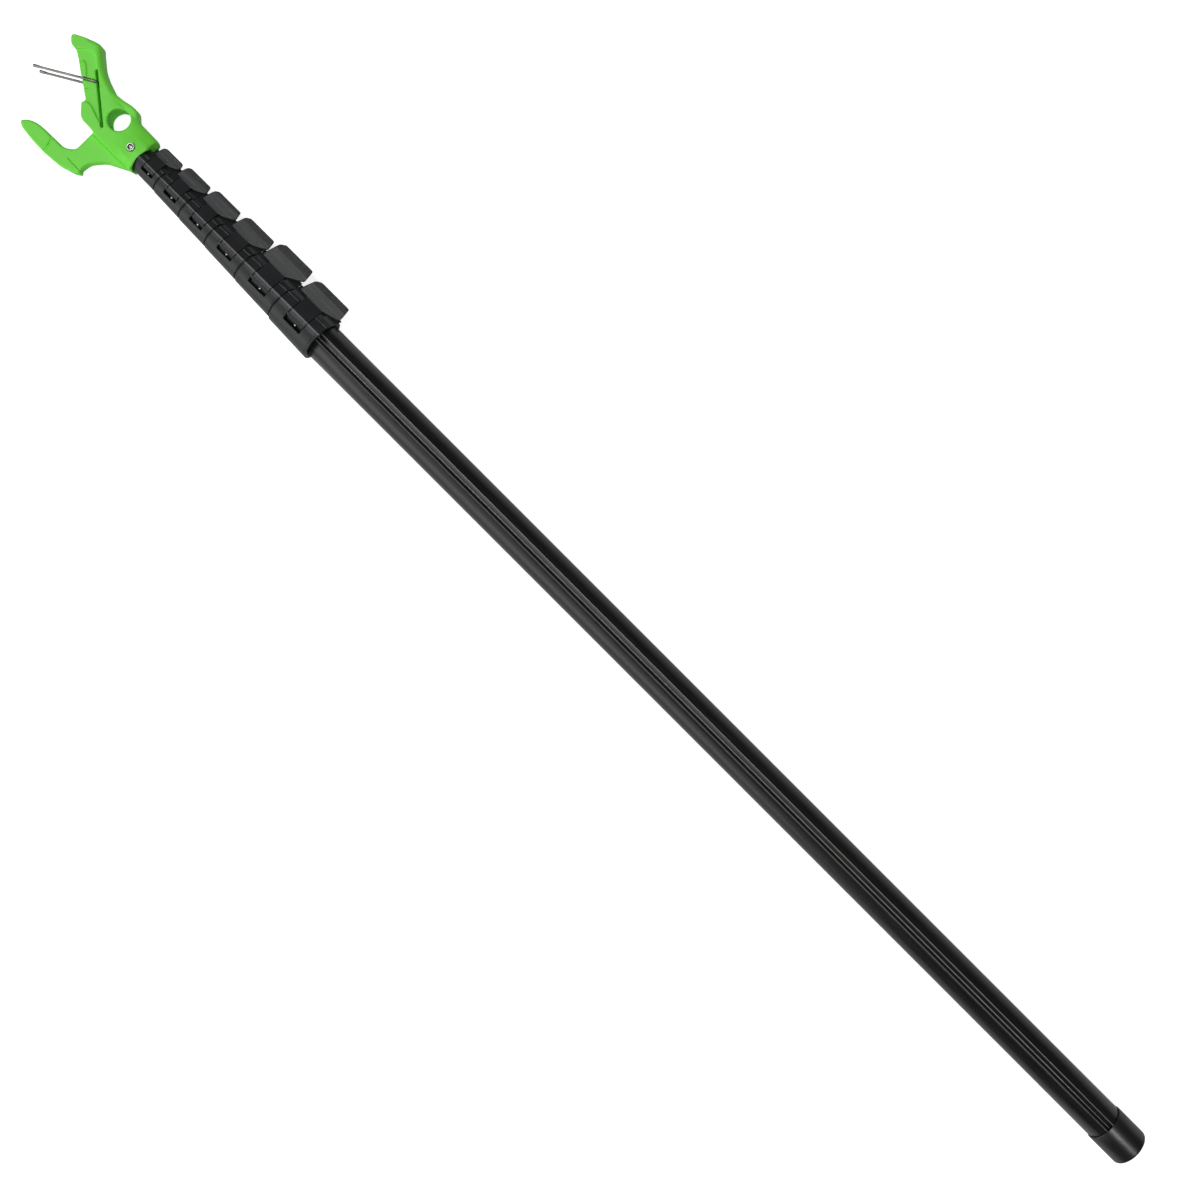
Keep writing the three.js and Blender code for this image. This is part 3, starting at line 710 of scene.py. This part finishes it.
def make_lever(i, step):
    c = Clamp(i)
    name = f"lever_{i + 1}"
    corner, opposite = box_mm(name)
    low_x, high_x = corner[0] - c.start, opposite[0] - c.start
    low = (low_x - 0.8, -c.tip - 0.8, corner[2] - 0.8)
    high = (high_x + 0.8, opposite[1] + 0.8, opposite[2] + 1.0)
    x, y, z = grid(low, high, step)
    under = c.facet - c.arm
    toward_pin = math.atan2(c.pin_z, c.pin_y)
    heel = arc(c.pin_y, c.pin_z, c.heel, -math.pi * 0.6, toward_pin, 16)[:-1]
    top = arc(0, 0, c.radius, toward_pin, math.pi / 2 + RIDGE_ANGLE, 10)
    root = -c.root - 1.5
    section = heel + top + [
        (root, c.facet_height(c.facet, root)), (root, c.facet_height(under, root)),
        (c.under, c.facet_height(under, c.under))]
    arm = join(outline_distance(section, y, z), beads(c, y, z)[0], 0.15)
    arm = common(arm, np.maximum(c.hub[0] - x, x - c.hub[1]), 0.25)
    # The paddle: a thin dished plate with a sloping nose-side edge and fine grip ribs at its tip.
    root = -c.root - 0.6
    tip = -c.tip
    width = root - tip
    tall = high_x - low_x
    height = c.facet_height(c.facet, root)
    plate_section = [
        (root, height), (root - 0.35 * width, height - 0.3), (root - 0.75 * width, height + 0.3),
        (tip, height + 1.2), (tip, height + 1.2 - 0.8 * PLATE_THICKNESS),
        (root - 0.5 * width, height - 0.2 - PLATE_THICKNESS), (root, height - PLATE_THICKNESS)]
    plan = rounded([
        (high_x, root), (high_x - 0.02 * tall, root - 0.3 * width),
        (high_x - 0.11 * tall, root - 0.82 * width), (high_x - 0.24 * tall, tip + 0.1),
        (low_x + 0.3, tip), (low_x, tip + c.slant * width), (low_x + 0.34 * tall, root)], 1.6)
    ribbed = np.clip((tip + RIBBED_SHARE * width - y) / 0.8, 0, 1)
    ribs = RIB_HEIGHT * np.cos(2 * math.pi * (y - tip) / RIB_PITCH) * ribbed
    plate = outline_distance(plate_section, y, z) + ribs * (z > height - 1)
    plate = common(plate, outline_distance(plan, x, y), 0.55)
    lever = join(arm, plate, 0.3)
    lever = cut(lever, pin_hole(c, y, z))
    mesh = net_mesh(name, lever, low, step)
    mesh.transform(Matrix.Translation((c.start * MM, 0, 0)))
    show(mesh, name)


for i in range(len(COLLARS)):
    make_collar(i, COLLAR_STEP)
    make_lever(i, LEVER_STEP)


# ---------------------------------------------------------------- tubes, cap, screw and wire
TUBE_WALL = 1.1
TUBE_EASE = 0.25
TUBE_LENGTHS = 12
TUBE_STEPS = 88
GROOVE_CORNER = 1.1
CORNER_STEPS = 6
CAP_ROUND = 2.2
CAP_BORE = 14.2
CAP_FLOOR = 3.5
# The studs: the largest radius, depth below the collar's surface, and rows of [share of the
# radius, drop from the top].
STUD_RADIUS = 0.65
STUD_DEPTH = 0.9
STUD_ROWS = ((1.0, 2.5), (1.0, 0.45), (0.88, 0.2), (0.6, 0.05), (0.25, 0.0))
# The wire: how much thicker it is than in the CAD, and its ends again; the shares of the leg and
# of the bridge at which its path has points.
WIRE_SWELL = 1.15
END_SWELL = 1.3
LEG_SHARES = (0.035, 0.1, 0.3, 0.5, 0.75, 0.95)
BRIDGE_SHARES = (0.78, 0.4, 0, -0.4, -0.78)


def finish_mesh(name, work, angle=35):
    """Turns bmesh work into a mesh with smooth shading that breaks at sharp edges."""
    bmesh.ops.recalc_face_normals(work, faces=work.faces)
    for edge in work.edges:
        if len(edge.link_faces) == 2:
            edge.smooth = edge.calc_face_angle(0) < math.radians(angle)
    for face in work.faces:
        face.smooth = True
    mesh = bpy.data.meshes.new(name)
    work.to_mesh(mesh)
    work.free()
    return mesh


def ring_of(work, outline, x):
    """New points on an outline of (y, z) pairs, at a place along the pole."""
    return [work.verts.new((x * MM, side * MM, up * MM)) for side, up in outline]


def bridge(work, a, b):
    """A closed band of faces between two rings."""
    for k in range(len(a)):
        n = (k + 1) % len(a)
        work.faces.new((a[k], a[n], b[n], b[k]))


def tube_outline(radius, floor):
    """A grooved outline with the groove's lips and floor corners rounded."""
    points = grooved_outline(radius, floor, TUBE_STEPS)
    groove = rounded(points[-4:] + points[:2], GROOVE_CORNER, CORNER_STEPS)
    return points[1:-3] + groove[CORNER_STEPS + 1:-CORNER_STEPS - 1]


def make_tube(i):
    name = f"tube_{i + 1}"
    low, high = box_mm(name)
    radius = TUBE_RADII[i]
    outer = tube_outline(radius, radius - GROOVE_DEPTH)
    inner = tube_outline(radius - TUBE_WALL, radius - GROOVE_DEPTH - TUBE_WALL)
    shrink = 1 - TUBE_EASE / radius
    work = bmesh.new()
    eased = [(side * shrink, up * shrink) for side, up in outer]
    rings = [ring_of(work, inner, low[0]), ring_of(work, eased, low[0]),
             ring_of(work, outer, low[0] + TUBE_EASE)]
    for share in np.linspace(0, 1, TUBE_LENGTHS)[1:-1]:
        rings.append(ring_of(work, outer, low[0] + share * (high[0] - low[0])))
    rings += [ring_of(work, outer, high[0] - TUBE_EASE), ring_of(work, eased, high[0]),
              ring_of(work, inner, high[0])]
    for a, b in zip(rings, rings[1:] + rings[:1]):
        bridge(work, a, b)
    show(finish_mesh(name, work, 50), name)


def lathe(profile, steps=96):
    """Turns a [distance along, radius] profile that starts and ends on the X axis about it."""
    work = bmesh.new()
    rings = []
    for x, radius in profile:
        if radius < 1e-6:
            rings.append([work.verts.new((x * MM, 0, 0))])
        else:
            rings.append(ring_of(work, arc(0, 0, radius, 0, 2 * math.pi, steps)[:-1], x))
    for a, b in zip(rings, rings[1:]):
        if len(a) == 1 or len(b) == 1:
            point, ring = (a[0], b) if len(a) == 1 else (b[0], a)
            for k in range(steps):
                work.faces.new((point, ring[k], ring[(k + 1) % steps]))
        else:
            bridge(work, a, b)
    return work


def make_cap():
    low, high = box_mm("end_cap")
    radius = high[1]
    length = high[0] - low[0]
    edge = [(CAP_ROUND - CAP_ROUND * math.cos(a), radius - CAP_ROUND + CAP_ROUND * math.sin(a))
            for a in np.linspace(0, math.pi / 2, 10)]
    # A shallow dish in the end face, the rounded edge, the rim, and the hollow for the tube.
    profile = [(0.35, 0), (0.35, 6), (0, 6.6)] + edge + [
        (0.5 * length, radius), (length - 0.5, radius), (length - 0.15, radius - 0.15),
        (length, radius - 0.45), (length - 0.3, CAP_BORE), (CAP_FLOOR, CAP_BORE), (CAP_FLOOR, 0)]
    show(finish_mesh("end_cap", lathe(profile), 40), "end_cap")


def make_screw():
    """A socket screw: a rounded flange, and a six-sided socket with a bright floor, whose walls
    take the black cap plastic as painted shade."""
    low, high = box_mm("head_screw")
    centre = ((low + high) / 2)[:2]
    top = high[2]
    turns = np.linspace(0, 2 * math.pi, 49)[:-1]
    work = bmesh.new()

    def ring(radius, z, hexagon=False):
        points = []
        for turn in turns:
            reach = radius / math.cos(turn % (math.pi / 3) - math.pi / 6) if hexagon else radius
            points.append(work.verts.new(((centre[0] + reach * math.cos(turn)) * MM,
                                          (centre[1] + reach * math.sin(turn)) * MM, z * MM)))
        return points

    rings = [ring(2.0, low[2]), ring(2.0, top - 1.2), ring(2.8, top - 1.2), ring(2.95, top - 1.0),
             ring(2.95, top - 0.5)]
    for degrees in (20, 45, 70, 90):
        turn = math.radians(degrees)
        rings.append(ring(2.4 + 0.55 * math.cos(turn), top - 0.55 + 0.55 * math.sin(turn)))
    walls = [ring(1.8, top - 0.1, True), ring(1.1, top - 0.7, True)]
    rings += walls + [ring(1.0, top - 0.7), ring(0.5, top - 0.45)]
    for a, b in zip(rings, rings[1:]):
        bridge(work, a, b)
    for last, z in ((rings[0], low[2]), (rings[-1], top - 0.42)):
        middle = work.verts.new((centre[0] * MM, centre[1] * MM, z * MM))
        for k in range(len(turns)):
            work.faces.new((middle, last[k], last[(k + 1) % len(turns)]))
    # The socket's walls take the black cap plastic as painted shade of the recess; the rest is
    # bright steel.
    dark = set(walls[0] + walls[1])
    for face in work.faces:
        face.material_index = 1 if all(v in dark for v in face.verts) else 0
    piece = show(finish_mesh("head_screw", work, 40), "head_screw", BRIGHT)
    piece.data.materials.append(LOOKS["cap"])


def make_shoe(i):
    """The shoe as in the CAD, with a domed stud that shows in the collar's window, painted pale as
    a highlight.
    """
    c = Clamp(i)
    name = f"brake_shoe_{i + 1}"
    mesh = NODES[name].data.copy()
    mesh.name = name
    work = bmesh.new()
    work.from_mesh(mesh)
    radius = min(STUD_RADIUS, 0.3 * (c.far - c.near))
    side = c.near + 0.3 + radius
    along = c.start + c.hub[0] + 0.4 * (c.hub[1] - c.hub[0])
    top = math.sqrt(c.radius ** 2 - side ** 2) - STUD_DEPTH
    rings = []
    for share, drop in STUD_ROWS:
        circle = arc(along, side, share * radius, 0, 2 * math.pi, 24)[:-1]
        rings.append([work.verts.new((a * MM, b * MM, (top - drop) * MM)) for a, b in circle])
    before = set(work.faces)
    for a, b in zip(rings, rings[1:]):
        bridge(work, a, b)
    work.faces.new(rings[-1])
    work.faces.new(rings[0])
    bright = [face for face in work.faces if face not in before]
    for face in work.faces:
        face.material_index = 0
    for face in bright:
        face.material_index = 1
        face.smooth = True
    bmesh.ops.recalc_face_normals(work, faces=bright)
    mesh.materials.clear()
    work.to_mesh(mesh)
    work.free()
    show(mesh, name)
    # The stud's near-white finish is partly a painted highlight.
    mesh.materials.append(STUD)


def make_wire():
    """The bent wire as a fine tube along a smooth path, with rounded ends."""
    def place(point, z):
        return Vector((HEAD_START + point[0], point[1], z)) * MM

    heel, bend, end = WIRE_PLAN
    leg = [tuple(h + share * (b - h) for h, b in zip(heel, bend)) for share in LEG_SHARES]
    leg += [bend, ((bend[0] + end[0]) / 2, (bend[1] + end[1]) / 2), end]
    path = [place(p, WIRE_SPREAD) for p in reversed(leg)]
    path += [place(heel, share * WIRE_SPREAD) for share in BRIDGE_SHARES]
    path += [place(p, -WIRE_SPREAD) for p in leg]
    curve = bpy.data.curves.new("wire", "CURVE")
    curve.dimensions = "3D"
    spline = curve.splines.new("NURBS")
    spline.points.add(len(path) - 1)
    for k, (point, co) in enumerate(zip(spline.points, path)):
        point.co = (*co, 1)
        point.radius = END_SWELL if k in (0, 1, len(path) - 2, len(path) - 1) else 1.0
    spline.use_endpoint_u = True
    spline.order_u = 3
    curve.resolution_u = 10
    curve.bevel_depth = WIRE_SWELL * WIRE_RADIUS * MM
    curve.bevel_resolution = 5
    curve.use_fill_caps = True
    holder = bpy.data.objects.new("wire_holder", curve)
    bpy.context.scene.collection.objects.link(holder)
    graph = bpy.context.evaluated_depsgraph_get()
    mesh = bpy.data.meshes.new_from_object(holder.evaluated_get(graph))
    bpy.data.objects.remove(holder)
    mesh.materials.clear()
    mesh.polygons.foreach_set("use_smooth", np.ones(len(mesh.polygons), bool))
    show(mesh, "wire_hairpin")


for i in range(7):
    make_tube(i)
for i in range(6):
    make_shoe(i)
make_cap()
make_screw()
make_wire()


# ---------------------------------------------------------------- camera
# The camera looks straight down, rolled by 45 degrees.
CAMERA_PLACE = (0.5418, -0.0092, 0.981)
LENS = 41.4
half = math.sqrt(0.5)
camera_data = bpy.data.cameras.new("camera")
camera = bpy.data.objects.new("camera", camera_data)
bpy.context.scene.collection.objects.link(camera)
camera_data.lens = LENS
camera_data.sensor_width = 36
camera_data.clip_end = 100
camera.matrix_world = Matrix((
    (-half, half, 0, CAMERA_PLACE[0]),
    (-half, -half, 0, CAMERA_PLACE[1]),
    (0, 0, 1, CAMERA_PLACE[2]),
    (0, 0, 0, 1),
))
bpy.context.scene.camera = camera

# ---------------------------------------------------------------- floor and light
FLOOR = ((-8, -8), (14, 8))
FLOOR_GAP = 0.0005
FLOOR_GLOW = 0.8
WORLD_GLOW = 0.06
# All softboxes face the middle of the closed pole. Each one: name, place, size, and brightness
# of its surface.
LAMP_TARGET = (0.55, 0, 0)
LAMPS = [
    ("side_low", (1.15, 1.50, 0.38), (2.8, 0.75), 1.6),
    ("side_high", (1.15, 1.30, 1.10), (2.8, 1.0), 0.95),
    ("top", (0.55, 0.05, 2.2), (4.3, 0.42), 6.6),
    ("rim", (0.55, -1.60, 0.16), (3.4, 0.30), 0.3),
]

floor_mesh = bpy.data.meshes.new("floor")
(x0, y0), (x1, y1) = FLOOR
floor_mesh.from_pydata([(x0, y0, 0), (x1, y0, 0), (x1, y1, 0), (x0, y1, 0)], [], [(0, 1, 2, 3)])
floor = bpy.data.objects.new("floor", floor_mesh)
floor.location.z = CAD_BOX[0][2] - FLOOR_GAP
bpy.context.scene.collection.objects.link(floor)
floor_mat, tree, shader = principled(
    "floor_paper", Base_Color=(0.75, 0.75, 0.75, 1), Roughness=0.9, Emission_Color=(1, 1, 1, 1))
# The paper is overexposed to the camera only, so that it doesn't light the pole from below.
ray = add_node(tree, "ShaderNodeLightPath")
glow = add_node(tree, "ShaderNodeMath", operation="MULTIPLY")
glow.inputs[1].default_value = FLOOR_GLOW
tree.links.new(ray.outputs["Is Camera Ray"], glow.inputs[0])
tree.links.new(glow.outputs[0], shader.inputs["Emission Strength"])
floor_mesh.materials.append(floor_mat)

world = bpy.data.worlds.new("studio")
bpy.context.scene.world = world
world.use_nodes = True
background = world.node_tree.nodes["Background"]
background.inputs["Color"].default_value = (1, 1, 1, 1)
background.inputs["Strength"].default_value = WORLD_GLOW
bpy.context.scene.view_settings.view_transform = "Standard"


def softbox(name, place, size, brightness):
    """A rectangular lamp that the camera doesn't see."""
    data = bpy.data.lights.new(name, "AREA")
    data.shape = "RECTANGLE"
    data.size, data.size_y = size
    data.energy = brightness * math.pi * size[0] * size[1]
    lamp = bpy.data.objects.new(name, data)
    lamp.location = place
    lamp.visible_camera = False
    aim = Vector(LAMP_TARGET) - Vector(place)
    lamp.rotation_euler = aim.to_track_quat("-Z", "Y").to_euler()
    bpy.context.scene.collection.objects.link(lamp)


for lamp_row in LAMPS:
    softbox(*lamp_row)
